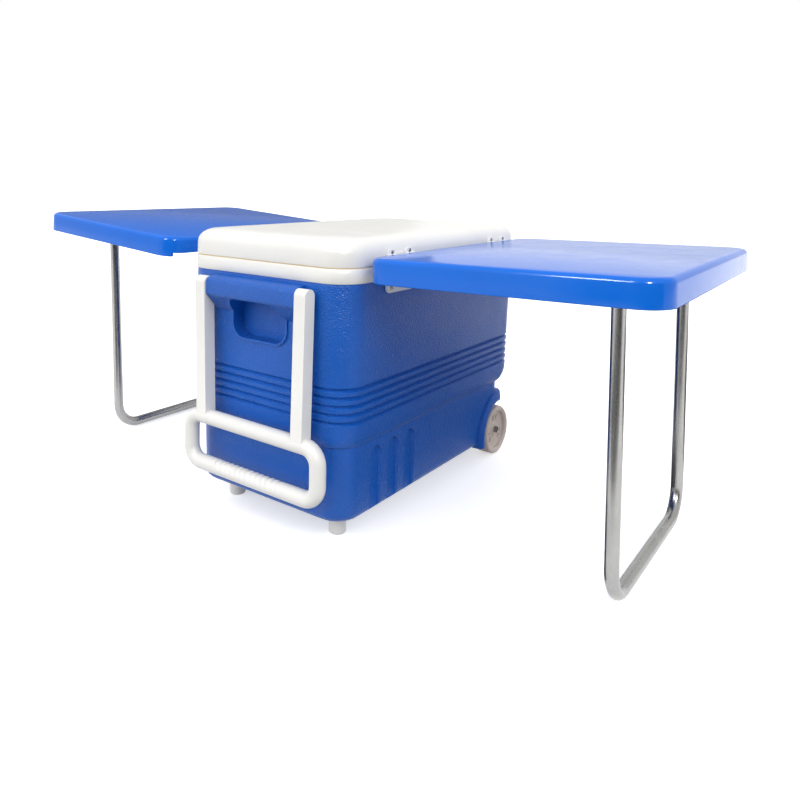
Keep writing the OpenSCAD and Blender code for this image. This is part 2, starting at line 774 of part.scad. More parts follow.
// Hinge plates on the inner skirt of a leaf, with the outer knuckles; the pin is at the origin
leaf_plate_t = 2;
leaf_plate_h = lid_pin_h + seal_t + part_z - leaf_pin_z - barrel_r - 1.5;
leaf_plate_x = leaf_edge_x - seat_gap - leaf_plate_t;
module leaf_straps() {
  color("lightgray") hinge_places() difference() {
    union() {
      outer_knuckles();
      translate([leaf_plate_x, -hinge_w / 2 + side_gap, barrel_r + 0.6])
        cube([leaf_plate_t, hinge_w - 2 * side_gap, leaf_plate_h - barrel_r - 0.6]);
      for (s = [-1, 1]) translate([leaf_plate_x, s * knuckle_w - knuckle_w / 2 + side_gap, 0])
        cube([leaf_plate_t, knuckle_w - 2 * side_gap, leaf_plate_h]);
    }
    pin_bore();
  }
}
module strap_screws() {
  color("dimgray") hinge_places() for (s = [-1, 1])
    translate([leaf_plate_x, s * knuckle_w, leaf_plate_h - 5]) rotate([0, -90, 0]) bar(3.2, 0, 1.2);
}

// Leg: a U of round tube, drawn square to the socket; foot is the distance to the floor
function leg_len(pin_height, x, a, lean) =
  (pin_height + turned(x, leaf_top - leaf_t, a)[1] - tube_d / 2) / cos(lean);
module leg(x, splay, low_line) {
  low = -low_line;
  color("silver") translate([x, 0, leaf_top - leaf_t]) rotate([0, splay, 0]) {
    for (s = [-1, 1]) {
      translate([0, s * leg_w / 2, 0]) difference() {
        tube(low + bend_r, -2.5);
        translate([0, 0, stop_z]) scale([1, s, 1]) along_y() bar(stop_r + run_gap, 0, tube_d);
      }
      translate([0, s * (leg_w / 2 - bend_r), low + bend_r]) rotate([0, -s * 90, 0])
        rotate([0, 0, s * 90]) bend();
    }
    translate([0, 0, low]) along_y() difference() {
      cylinder(d = tube_d, h = leg_w - 2 * bend_r, center = true);
      cylinder(d = tube_d - 2 * tube_t, h = leg_w, center = true);
    }
  }
}
module tube(z0, z1) {
  difference() {
    bar(tube_d / 2, z0, z1);
    bar(tube_d / 2 - tube_t, z0 - cut, z1 + cut);
  }
}
module bend() {
  rotate_extrude(angle = 90) translate([bend_r, 0]) difference() {
    circle(d = tube_d);
    circle(d = tube_d - 2 * tube_t);
  }
}

// Stop buttons in the outer walls of the tubes, which the mouths of the sockets stand on
stop_r = 3;
stop_out = 2.5;
stop_z = -socket_deep - stop_r - seat_gap;
module leg_stops(x, splay) {
  color("dimgray") for (s = [-1, 1])
    translate([x, s * leg_w / 2, leaf_top - leaf_t]) rotate([0, splay, 0]) translate([0, 0, stop_z])
      scale([1, s, 1]) along_y() bar(stop_r, tube_d / 2 - 2 * tube_t, tube_d / 2 + stop_out);
}

// Pull handle: two arms with a ridge along the front, and a loop to hold
arm_bevel = 5;
arm_cap = 4;
module arm_slice() {
  linear_extrude(0.5) polygon([
    [-arm_w / 2, arm_d / 2], [arm_w / 2, arm_d / 2], [arm_w / 2, arm_bevel - arm_d / 2],
    [arm_w / 2 - arm_bevel, -arm_d / 2], [arm_bevel - arm_w / 2, -arm_d / 2], [-arm_w / 2, arm_bevel - arm_d / 2]]);
}
module pull_handle() {
  color("white") translate([0, handle_y, 0]) difference() {
    union() {
      for (s = [-1, 1]) translate([s * arm_gap / 2, 0, 0]) {
        hull() {
          translate([0, 0, pivot_z]) arm_slice();
          translate([-s * arm_toe, 0, loop_top_z]) arm_slice();
        }
        translate([0, 0, pivot_z]) along_x() cylinder(d = arm_d, h = arm_w, center = true);
      }
      for (z = [loop_low_z, loop_top_z]) translate([0, 0, z])
        along_x() cylinder(d = bar_d, h = loop_w - 2 * loop_r, center = true);
      for (s = [-1, 1]) translate([s * loop_w / 2, 0, 0]) bar(bar_d / 2, loop_low_z + loop_r, loop_top_z - loop_r);
      for (s = [-1, 1], t = [-1, 1]) translate([s * (loop_w / 2 - loop_r), 0, t > 0 ? loop_top_z - loop_r : loop_low_z + loop_r])
        rotate([90, 0, 0]) rotate([0, 0, s > 0 ? (t > 0 ? 0 : -90) : (t > 0 ? 90 : 180)])
          rotate_extrude(angle = 90) translate([loop_r, 0]) circle(d = bar_d);
    }
    translate([0, 0, pivot_z]) along_x() cylinder(r = handle_pin_r + run_gap, h = arm_gap + arm_w - 2 * arm_cap, center = true);
  }
}

module handle_pins() {
  color("silver") for (s = [-1, 1]) translate([0, handle_y, pivot_z]) rotate([0, s * 90, 0]) {
    bar(handle_pin_r, boss_half - pin_in + seat_gap, arm_gap / 2 + arm_w / 2 - arm_cap - seat_gap);
  }
}

// Wheel with a rounded ring, a dished web with three pairs of openings, and a hub; it faces +Z
hub_r = 13;
web_t = 5;
ring_w = 13;
ring_r = 5;
slot_in = 17;
slot_out = 29;
slot_w = 6;
module wheel_section() {
  rim_in = wheel_d / 2 - ring_w;
  bore = axle_d / 2 + run_gap;
  translate([rim_in, ring_r]) square([ring_w, wheel_t - 2 * ring_r]);
  translate([rim_in + ring_r, 0]) square([ring_w - 2 * ring_r, wheel_t]);
  for (r = [rim_in + ring_r, wheel_d / 2 - ring_r], z = [ring_r, wheel_t - ring_r])
    translate([r, z]) circle(ring_r, $fn = 32);
  translate([bore, wheel_t - dish - web_t]) square([rim_in + 1 - bore, web_t]);
  translate([bore, 2]) square([hub_r - bore, wheel_t - dish]);
}
module wheel() {
  color("lightgray") difference() {
    rotate_extrude($fn = 72) wheel_section();
    for (i = [0:2], s = [-1, 1]) rotate([0, 0, 120 * i + 180 + 14 * s])
      translate([0, 0, wheel_t - dish - web_t - cut]) linear_extrude(web_t + 2 * cut)
        polygon([[slot_in, -slot_w / 2], [slot_out, 0], [slot_in, slot_w / 2]]);
  }
}
module wheel_at(s) {
  translate([s * wheel_in_x, axle_y, axle_z]) rotate([0, s * 90, 0]) wheel();
}

// The whole model stands with the middle of its box at the origin
module placed() {
  translate([-frame_x, -frame_y, 0]) children();
}

placed() body_shell();
placed() insulation();
placed() liner();
placed() rim_seal();
placed() front_feet();
placed() axle();
placed() axle_saddles();
placed() axle_caps();
placed() drain_spout();
placed() drain_plug();
placed() lid_cover();
placed() lid_foam();
placed() lid_liner();
placed() body_hinge_plates();
placed() body_hinge_screws();
placed() lid_hinge_plates();
placed() lid_hinge_screws();
placed() lid_hinge_pins();
placed() leaf_right_pins();
placed() leaf_left_brackets();
placed() bracket_screws();
placed() leaf_left_pins();
placed() on_right() leaf_top_plate(leg_x_right, splay_right);  // leaf_right_top
placed() on_right() leaf_straps();  // leaf_right_straps
placed() on_right() strap_screws();  // leaf_right_screws
placed() on_right()  // leg_right
  leg(leg_x_right, splay_right, leg_len(leaf_pin_z, leg_x_right, tilt_right, lean_right));
placed() on_right() leg_stops(leg_x_right, splay_right);  // leg_right_stops
placed() on_left() leaf_top_plate(leg_x_left, splay_left);  // leaf_left_top
placed() on_left() leaf_straps();  // leaf_left_straps
placed() on_left() strap_screws();  // leaf_left_screws
placed() on_left()  // leg_left
  leg(leg_x_left, splay_left, leg_len(left_pin_z, leg_x_left, tilt_left, lean_left));
placed() on_left() leg_stops(leg_x_left, splay_left);  // leg_left_stops
placed() pull_handle();
placed() handle_pins();
placed() wheel_at(1);  // wheel_right
placed() wheel_at(-1);  // wheel_left
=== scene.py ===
import json
import math
import bmesh
import bpy
from mathutils import Matrix, Vector


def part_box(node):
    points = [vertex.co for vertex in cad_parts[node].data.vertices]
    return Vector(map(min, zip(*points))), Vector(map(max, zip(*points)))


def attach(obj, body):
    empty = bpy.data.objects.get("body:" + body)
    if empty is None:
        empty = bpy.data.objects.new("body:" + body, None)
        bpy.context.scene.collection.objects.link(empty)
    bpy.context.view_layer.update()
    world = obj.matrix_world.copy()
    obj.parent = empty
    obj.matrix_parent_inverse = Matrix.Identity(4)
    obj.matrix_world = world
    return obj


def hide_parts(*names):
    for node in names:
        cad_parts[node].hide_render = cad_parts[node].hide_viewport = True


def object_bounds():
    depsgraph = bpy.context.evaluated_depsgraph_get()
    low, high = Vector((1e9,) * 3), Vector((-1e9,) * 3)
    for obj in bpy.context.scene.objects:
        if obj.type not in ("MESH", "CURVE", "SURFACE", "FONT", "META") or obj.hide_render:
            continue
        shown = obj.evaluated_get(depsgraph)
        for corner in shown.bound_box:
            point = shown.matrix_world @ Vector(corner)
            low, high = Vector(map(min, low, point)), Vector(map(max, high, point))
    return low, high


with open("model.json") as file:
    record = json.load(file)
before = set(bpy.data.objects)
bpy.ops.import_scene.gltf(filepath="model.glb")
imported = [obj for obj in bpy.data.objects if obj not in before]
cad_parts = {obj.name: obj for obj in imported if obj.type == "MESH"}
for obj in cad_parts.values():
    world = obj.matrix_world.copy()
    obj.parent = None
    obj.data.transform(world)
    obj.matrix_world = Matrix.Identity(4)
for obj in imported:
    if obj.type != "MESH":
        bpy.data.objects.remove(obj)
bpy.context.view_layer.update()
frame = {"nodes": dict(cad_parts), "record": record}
record = frame["record"]
mm = 0.001

bodyOfNode = {node: body for body, nodes in record["behaviour"]["bodies"].items() for node in nodes}
slotOfNode = {part["node"]: part["material_slot"] for part in record["subparts"]}


def middle(node):
    low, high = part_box(node)
    return (Vector(low) + Vector(high)) / 2


centre = middle("rim_seal")  # the seal is even all round, so its middle is the cooler's middle
ground = Vector((centre.x, centre.y, 0))
fromCooler = Matrix.Translation(ground) @ Matrix.Scale(mm, 4)  # millimetres from the cooler's middle on the floor
cadMerge = 2e-6  # metres within which the loose corners of a CAD node's mesh are one
flatAngle = 0.6  # degrees up to which faces next to each other count as one flat face


# ---- shader groups

pebbles = {"smooth": 0.8, "cellShare": 0.8, "detail": 3.0}
mottles = {"detail": 5.0, "rough": 0.6, "from": 0.32, "to": 0.68}
streaks = {"detail": 4.0}


def makeGroup(name, inputs, outputs):
    group = bpy.data.node_groups.new(name, "ShaderNodeTree")
    for label, kind, value in inputs:
        socket = group.interface.new_socket(name=label, in_out="INPUT", socket_type="NodeSocket" + kind)
        socket.default_value = value
    for label, kind in outputs:
        group.interface.new_socket(name=label, in_out="OUTPUT", socket_type="NodeSocket" + kind)
    return group, group.nodes.new("NodeGroupInput"), group.nodes.new("NodeGroupOutput")


def wire(tree, pairs):
    for outSocket, inSocket in pairs:
        tree.links.new(outSocket, inSocket)


def mathNode(tree, operation, *values):
    node = tree.nodes.new("ShaderNodeMath")
    node.operation = operation
    for index, value in enumerate(values):
        if isinstance(value, (int, float)):
            node.inputs[index].default_value = value
        else:
            tree.links.new(value, node.inputs[index])
    return node.outputs[0]


def pebbleGroup():
    group, given, result = makeGroup(
        "pebbleGrain", [("Vector", "Vector", (0, 0, 0)), ("Cells per metre", "Float", 500.0)], [("Height", "Float")]
    )
    cells = group.nodes.new("ShaderNodeTexVoronoi")
    cells.feature = "SMOOTH_F1"
    cells.inputs["Smoothness"].default_value = pebbles["smooth"]
    fine = group.nodes.new("ShaderNodeTexNoise")
    fine.inputs["Detail"].default_value = pebbles["detail"]
    wire(group, [
        (given.outputs["Vector"], cells.inputs["Vector"]),
        (given.outputs["Cells per metre"], cells.inputs["Scale"]),
        (given.outputs["Vector"], fine.inputs["Vector"]),
        (given.outputs["Cells per metre"], fine.inputs["Scale"]),
    ])
    cellHeight = mathNode(group, "MULTIPLY", cells.outputs["Distance"], pebbles["cellShare"])
    height = mathNode(group, "ADD", cellHeight, fine.outputs["Fac"])
    wire(group, [(height, result.inputs["Height"])])
    return group


def mottleGroup():
    group, given, result = makeGroup(
        "mouldMottle",
        [("Vector", "Vector", (0, 0, 0)), ("Patches per metre", "Float", 8.0),
         ("Low", "Float", 0.3), ("High", "Float", 0.4)],
        [("Value", "Float")],
    )
    broad = group.nodes.new("ShaderNodeTexNoise")
    broad.inputs["Detail"].default_value = mottles["detail"]
    broad.inputs["Roughness"].default_value = mottles["rough"]
    spread = group.nodes.new("ShaderNodeMapRange")
    spread.inputs["From Min"].default_value = mottles["from"]
    spread.inputs["From Max"].default_value = mottles["to"]
    wire(group, [
        (given.outputs["Vector"], broad.inputs["Vector"]),
        (given.outputs["Patches per metre"], broad.inputs["Scale"]),
        (broad.outputs["Fac"], spread.inputs["Value"]),
        (given.outputs["Low"], spread.inputs["To Min"]),
        (given.outputs["High"], spread.inputs["To Max"]),
        (spread.outputs["Result"], result.inputs["Value"]),
    ])
    return group


def streakGroup():
    group, given, result = makeGroup(
        "fineStreaks",
        [("Vector", "Vector", (0, 0, 0)), ("Squeeze", "Vector", (1, 1, 0.02)), ("Scale", "Float", 900.0)],
        [("Value", "Float")],
    )
    squeeze = group.nodes.new("ShaderNodeVectorMath")
    squeeze.operation = "MULTIPLY"
    noise = group.nodes.new("ShaderNodeTexNoise")
    noise.inputs["Detail"].default_value = streaks["detail"]
    wire(group, [
        (given.outputs["Vector"], squeeze.inputs[0]),
        (given.outputs["Squeeze"], squeeze.inputs[1]),
        (squeeze.outputs["Vector"], noise.inputs["Vector"]),
        (given.outputs["Scale"], noise.inputs["Scale"]),
        (noise.outputs["Fac"], result.inputs["Value"]),
    ])
    return group


pebbleGrain = pebbleGroup()
mouldMottle = mottleGroup()
fineStreaks = streakGroup()


# ---- materials

plasticLook = {"grainDeep": 0.001, "glossPatches": 3}  # gloss changes in smaller patches than colour
steelLook = {"streaks": 700.0, "patches": 14.0, "darker": 0.82, "bump": 0.06, "bumpDeep": 0.0003}
leafLines = {
    "middleX": centre.x + 0.40, "pitch": 0.014, "count": 5, "width": 0.0016, "lowestZ": 0.44, "deep": 0.9, "calm": 0.1,
}


def startMaterial(name):
    material = bpy.data.materials.new(name)
    material.use_nodes = True
    tree = material.node_tree
    shader = tree.nodes["Principled BSDF"]
    place = tree.nodes.new("ShaderNodeTexCoord").outputs["Object"]
    return material, tree, shader, place


def useGroup(tree, group, place, values):
    node = tree.nodes.new("ShaderNodeGroup")
    node.node_tree = group
    tree.links.new(place, node.inputs["Vector"])
    for label, value in values.items():
        node.inputs[label].default_value = value
    return node.outputs[0]


def tintBetween(tree, factor, colorA, colorB):
    mix = tree.nodes.new("ShaderNodeMix")
    mix.data_type = "RGBA"
    mix.inputs["A"].default_value = (*colorA, 1)
    mix.inputs["B"].default_value = (*colorB, 1)
    tree.links.new(factor, mix.inputs["Factor"])
    return mix.outputs["Result"]


def addBump(tree, shader, height, strength, distance):
    bump = tree.nodes.new("ShaderNodeBump")
    bump.inputs["Strength"].default_value = strength
    bump.inputs["Distance"].default_value = distance
    wire(tree, [(height, bump.inputs["Height"]), (bump.outputs["Normal"], shader.inputs["Normal"])])


# fine moulding lines along Y on the right leaf's top
def flowLines(tree, place, lines):
    split = tree.nodes.new("ShaderNodeSeparateXYZ")
    tree.links.new(place, split.inputs[0])
    across = mathNode(tree, "SUBTRACT", split.outputs["X"], lines["middleX"])
    inBand = mathNode(tree, "LESS_THAN", mathNode(tree, "ABSOLUTE", across), lines["pitch"] * lines["count"] / 2)
    line = mathNode(tree, "LESS_THAN", mathNode(tree, "PINGPONG", across, lines["pitch"] / 2), lines["width"] / 2)
    onTop = mathNode(tree, "GREATER_THAN", split.outputs["Z"], lines["lowestZ"])
    shown = mathNode(tree, "MULTIPLY", mathNode(tree, "MULTIPLY", line, inBand), onTop)
    return mathNode(tree, "MULTIPLY", shown, lines["deep"])


def plasticMaterial(name, colorA, colorB, rough, grain, cells, shine=0.5, patches=7.0, lines=None):
    material, tree, shader, place = startMaterial(name)
    mottle = useGroup(tree, mouldMottle, place, {"Patches per metre": patches, "Low": 0.0, "High": 1.0})
    wire(tree, [(tintBetween(tree, mottle, colorA, colorB), shader.inputs["Base Color"])])
    glossPatches = patches * plasticLook["glossPatches"]
    gloss = useGroup(tree, mouldMottle, place, {"Patches per metre": glossPatches, "Low": rough[0], "High": rough[1]})
    wire(tree, [(gloss, shader.inputs["Roughness"])])
    shader.inputs["Specular IOR Level"].default_value = shine
    height = useGroup(tree, pebbleGrain, place, {"Cells per metre": cells})
    if lines:
        calmer = mathNode(tree, "MULTIPLY", height, lines["calm"])
        height = mathNode(tree, "SUBTRACT", calmer, flowLines(tree, place, lines))
    addBump(tree, shader, height, grain, plasticLook["grainDeep"])
    return material


def steelMaterial(name, color, rough, squeeze):
    material, tree, shader, place = startMaterial(name)
    streak = useGroup(tree, fineStreaks, place, {"Squeeze": squeeze, "Scale": steelLook["streaks"]})
    spread = tree.nodes.new("ShaderNodeMapRange")
    spread.inputs["To Min"].default_value = rough[0]
    spread.inputs["To Max"].default_value = rough[1]
    wire(tree, [(streak, spread.inputs["Value"]), (spread.outputs["Result"], shader.inputs["Roughness"])])
    mottle = useGroup(
        tree, mouldMottle, place, {"Patches per metre": steelLook["patches"], "Low": 0.0, "High": 1.0})
    darker = tuple(c * steelLook["darker"] for c in color)
    wire(tree, [(tintBetween(tree, mottle, color, darker), shader.inputs["Base Color"])])
    shader.inputs["Metallic"].default_value = 1.0
    addBump(tree, shader, streak, steelLook["bump"], steelLook["bumpDeep"])
    return material


# name, two colours, range of roughness, strength of the grain and its cells per metre
materials = {
    "blue_plastic": plasticMaterial(
        "blueShell", (0.002, 0.088, 0.43), (0.003, 0.100, 0.48), (0.28, 0.36), 0.85, 390.0, shine=0.34),
    "leaf_plastic": plasticMaterial(
        "blueLeaf", (0.002, 0.125, 0.60), (0.003, 0.138, 0.66), (0.13, 0.19), 0.3, 40.0, shine=0.26,
        lines=leafLines),
    "white_plastic": plasticMaterial(
        "whiteMoulding", (0.76, 0.75, 0.72), (0.79, 0.785, 0.76), (0.32, 0.44), 0.10, 300.0),
    "foam": plasticMaterial("foam", (0.80, 0.74, 0.52), (0.85, 0.79, 0.60), (0.8, 0.95), 0.5, 250.0),
    "seal": plasticMaterial("seal", (0.80, 0.58, 0.28), (0.86, 0.66, 0.36), (0.6, 0.7), 0.1, 500.0),
    "leg_steel": steelMaterial("platedSteel", (0.38, 0.376, 0.365), (0.21, 0.33), (1, 1, 0.02)),
    "hinge_white": plasticMaterial(
        "hingePaint", (0.80, 0.80, 0.79), (0.86, 0.86, 0.85), (0.22, 0.32), 0.06, 400.0),
    "dark_steel": steelMaterial("screwSteel", (0.30, 0.30, 0.31), (0.3, 0.45), (1, 1, 1)),
    "wheel_plastic": plasticMaterial(
        "wheelPlastic", (0.56, 0.48, 0.43), (0.62, 0.54, 0.49), (0.42, 0.55), 0.2, 300.0),
}
print("materials made:", len(materials))


# ---- pieces that keep the shape of their node

sharpFrom = 38  # degrees from which an edge is sharp, where a piece gives no angle of its own


def shadeByAngle(bm, sharpAngle):
    for face in bm.faces:
        face.smooth = True
    for edge in bm.edges:
        edge.smooth = len(edge.link_faces) == 2 and edge.calc_face_angle(0.0) < math.radians(sharpAngle)


def finishPiece(mesh, name, node, bevel=0.0, sharpAngle=sharpFrom, segments=2):
    piece = bpy.data.objects.new(name, mesh)
    bpy.context.scene.collection.objects.link(piece)
    mesh.materials.clear()
    mesh.materials.append(materials[slotOfNode[node]])
    if bevel > 0:
        rounding = piece.modifiers.new("edges", "BEVEL")
        rounding.width = bevel
        rounding.segments = segments
        rounding.limit_method = "ANGLE"
        rounding.angle_limit = math.radians(sharpAngle)
    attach(piece, bodyOfNode[node])
    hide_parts(node)
    return piece


grooves = {  # millimetres; the valleys are cut deeper and narrower than in the solid
    "lowest": 200, "pitch": 13.25, "count": 5, "valleyLow": -0.7, "valleyHigh": 0.9, "near": 0.15, "deeper": 1.7,
    "pinch": 0.6,
}


def deepenGrooves(bm):
    bm.normal_update()
    moves = []
    for vert in bm.verts:
        for index in range(grooves["count"]):
            level = vert.co.z / mm - grooves["lowest"] - index * grooves["pitch"]
            isLow = abs(level - grooves["valleyLow"]) < grooves["near"]
            if isLow or abs(level - grooves["valleyHigh"]) < grooves["near"]:
                inward = -Vector((vert.normal.x, vert.normal.y, 0)).normalized()
                rise = grooves["pinch"] if isLow else -grooves["pinch"]
                moves.append((vert, (inward * grooves["deeper"] + Vector((0, 0, rise))) * mm))
    for vert, move in moves:
        vert.co += move


def cleanCopy(node, bevel, sharpAngle):
    mesh = frame["nodes"][node].data.copy()
    mesh.name = node + "_piece"
    bm = bmesh.new()
    bm.from_mesh(mesh)
    bmesh.ops.remove_doubles(bm, verts=bm.verts, dist=cadMerge)
    if node == "body_shell":
        deepenGrooves(bm)
    bmesh.ops.dissolve_limit(bm, angle_limit=math.radians(flatAngle), verts=bm.verts, edges=bm.edges)
    bmesh.ops.recalc_face_normals(bm, faces=bm.faces)
    shadeByAngle(bm, sharpAngle)
    bm.to_mesh(mesh)
    bm.free()
    finishPiece(mesh, node + "_piece", node, bevel, sharpAngle)


edgeSizes = {  # rounding in metres, and the angle in degrees from which an edge gets it
    "body_shell": (0.0018, 40), "liner": (0.0012, 40), "rim_seal": (0.0003, 40), "front_feet": (0.0008, 38),
    "axle_saddles": (0.0006, 38), "axle_caps": (0.0006, 38), "drain_spout": (0.0006, 38), "drain_plug": (0.0008, 38),
    "lid_cover": (0.0008, 50), "lid_liner": (0.001, 38), "body_hinge_plates": (0.0005, 38),
    "lid_hinge_plates": (0.0005, 38), "leaf_left_brackets": (0.0006, 38), "leaf_right_top": (0.0012, 45),
    "leaf_left_top": (0.0012, 45), "leaf_right_straps": (0.0004, 38), "leaf_left_straps": (0.0004, 38),
}
ownShape = ("pull_handle", "wheel_right", "wheel_left")
screwFacing = {  # the side along X that the heads face
    "body_hinge_screws": 1, "lid_hinge_screws": 1, "bracket_screws": -1, "leaf_right_screws": -1, "leaf_left_screws": 1,
}
for nodeName in frame["nodes"]:
    if nodeName not in ownShape and nodeName not in screwFacing:
        cleanCopy(nodeName, *edgeSizes.get(nodeName, (0.0, sharpFrom)))
print("pieces dressed")


# ---- pull handle: two ridged arms on a round loop with finger scallops, in millimetres from the cooler's middle

handle = {
    "armGap": 226, "armToe": 5, "armWide": 23, "armDeep": 22, "ridge": 4.6, "pivotZ": 398, "middleY": -316.5,
    "loopWide": 288, "loopTop": 166, "loopLow": 84, "cornerRadius": 26, "barRadius": 13, "barSides": 32,
    "cornerSteps": 10, "scallops": 13, "scallopPitch": 11.6, "scallopSteps": 10, "scallopDeep": 2.4,
    "scallopFade": 1.6, "armSides": 40, "merge": 0.01, "slack": 1, "bevel": 0.0010, "bevelSteps": 3, "sharp": 34,
    "sceneMerge": 1e-6,
}


def makeArm(side):
    h = handle
    bm = bmesh.new()
    bmesh.ops.create_circle(bm, cap_ends=True, segments=h["armSides"], radius=h["armDeep"] / 2)
    bmesh.ops.rotate(bm, verts=bm.verts, matrix=Matrix.Rotation(math.radians(90), 3, "Y"))
    for vert in bm.verts:
        isLow = vert.co.z < -h["merge"]  # the lower half of the disc becomes the straight arm
        vert.co += Vector((-h["armWide"] / 2, 0, h["pivotZ"]))
        if isLow:
            vert.co.y = math.copysign(h["armDeep"] / 2, vert.co.y)
            vert.co.z = h["loopTop"]
    bmesh.ops.remove_doubles(bm, verts=bm.verts, dist=h["merge"])
    grown = bmesh.ops.extrude_face_region(bm, geom=bm.faces[:])
    moved = [item for item in grown["geom"] if isinstance(item, bmesh.types.BMVert)]
    bmesh.ops.translate(bm, verts=moved, vec=(h["armWide"], 0, 0))
    bmesh.ops.recalc_face_normals(bm, faces=bm.faces)
    sides = [face for face in bm.faces if abs(face.normal.x) > 0.9]
    front = {
        edge for face in sides for edge in face.edges
        if all(v.co.y < h["slack"] for v in edge.verts)
        and max(v.co.z for v in edge.verts) > h["loopTop"] + h["slack"]
    }
    bmesh.ops.bevel(
        bm, geom=list(front), offset=h["ridge"], offset_type="OFFSET", affect="EDGES", segments=1, profile=0.5,
        material=-1, clamp_overlap=True,
    )
    for vert in bm.verts:
        fall = max(h["pivotZ"] - vert.co.z, 0) / (h["pivotZ"] - h["loopTop"])
        vert.co.x += side * (h["armGap"] / 2 - h["armToe"] * fall)
    return bm


def edgesOf(items):
    return [item for item in items if isinstance(item, bmesh.types.BMEdge)]


def extrudeRing(bm, edges, step):
    grown = bmesh.ops.extrude_edge_only(bm, edges=edges)["geom"]
    bmesh.ops.translate(bm, verts=[item for item in grown if isinstance(item, bmesh.types.BMVert)], vec=step)
    return edgesOf(grown)


def spinRing(bm, edges, cent):
    turned = bmesh.ops.spin(
        bm, geom=edges, cent=cent, axis=(0, -1, 0), angle=math.radians(90), steps=handle["cornerSteps"],
        use_duplicate=False,
    )
    return edgesOf(turned["geom_last"])


def makeLoop():
    h = handle
    inner = h["loopWide"] / 2 - h["cornerRadius"]
    gripHalf = h["scallops"] * h["scallopPitch"] / 2
    slices = h["scallops"] * h["scallopSteps"]
    lowCorner, highCorner = h["loopLow"] + h["cornerRadius"], h["loopTop"] - h["cornerRadius"]
    bm = bmesh.new()
    bmesh.ops.create_circle(bm, cap_ends=False, segments=h["barSides"], radius=h["barRadius"])
    bmesh.ops.rotate(bm, verts=bm.verts, matrix=Matrix.Rotation(math.radians(90), 3, "Y"))
    bmesh.ops.translate(bm, verts=bm.verts, vec=(-inner, 0, h["loopLow"]))
    edges = extrudeRing(bm, bm.edges[:], (inner - gripHalf, 0, 0))
    for _ in range(slices):
        edges = extrudeRing(bm, edges, (2 * gripHalf / slices, 0, 0))
    edges = extrudeRing(bm, edges, (inner - gripHalf, 0, 0))
    edges = spinRing(bm, edges, (inner, 0, lowCorner))
    edges = extrudeRing(bm, edges, (0, 0, highCorner - lowCorner))
    edges = spinRing(bm, edges, (inner, 0, highCorner))
    edges = extrudeRing(bm, edges, (-2 * inner, 0, 0))
    edges = spinRing(bm, edges, (-inner, 0, highCorner))
    edges = extrudeRing(bm, edges, (0, 0, lowCorner - highCorner))
    spinRing(bm, edges, (-inner, 0, lowCorner))
    bmesh.ops.remove_doubles(bm, verts=bm.verts, dist=h["merge"])
    for vert in bm.verts:
        outward = Vector((0, vert.co.y, vert.co.z - h["loopLow"])) / h["barRadius"]
        if abs(vert.co.x) < gripHalf and 0 < outward.z < 1.01:
            phase = (vert.co.x + gripHalf) / h["scallopPitch"]
            dip = h["scallopDeep"] * (1 - abs(math.sin(math.pi * phase))) * min(1, outward.z * h["scallopFade"])
            vert.co -= outward * dip
    bmesh.ops.recalc_face_normals(bm, faces=bm.faces)
    return bm


def sceneObject(name, bm):
    mesh = bpy.data.meshes.new(name)
    bm.to_mesh(mesh)
    bm.free()
    made = bpy.data.objects.new(name, mesh)
    bpy.context.scene.collection.objects.link(made)
    return made


# the first solid with the others added or cut away, as one mesh
def combined(name, operation, solids):
    made = [sceneObject(name + "Draft", bm) for bm in solids]
    for other in made[1:]:
        step = made[0].modifiers.new("step", "BOOLEAN")
        step.operation, step.solver, step.object = operation, "EXACT", other
    mesh = bpy.data.meshes.new_from_object(made[0].evaluated_get(bpy.context.evaluated_depsgraph_get()))
    mesh.name = name
    for draft in made:
        bpy.data.objects.remove(draft)
    return mesh


def makeHandle():
    mesh = combined("pullHandle", "UNION", [makeLoop(), makeArm(-1), makeArm(1)])
    mesh.transform(fromCooler @ Matrix.Translation((0, handle["middleY"], 0)))
    bm = bmesh.new()
    bm.from_mesh(mesh)
    bmesh.ops.remove_doubles(bm, verts=bm.verts, dist=handle["sceneMerge"])
    bmesh.ops.recalc_face_normals(bm, faces=bm.faces)
    shadeByAngle(bm, handle["sharp"])
    bm.to_mesh(mesh)
    bm.free()
    finishPiece(mesh, "pullHandle", "pull_handle", handle["bevel"], handle["sharp"], handle["bevelSteps"])


makeHandle()
print("handle made")


# ---- screws: domed heads with a cross recess, each the size of its node's head

screw = {
    "rise": 0.25, "domeSteps": 6, "domePower": 0.7, "sides": 28, "slotLong": 1.15, "slotWide": 0.28, "slotDeep": 0.55,
    "turn": 0.7, "merge": 0.0005, "sharp": 40,
}


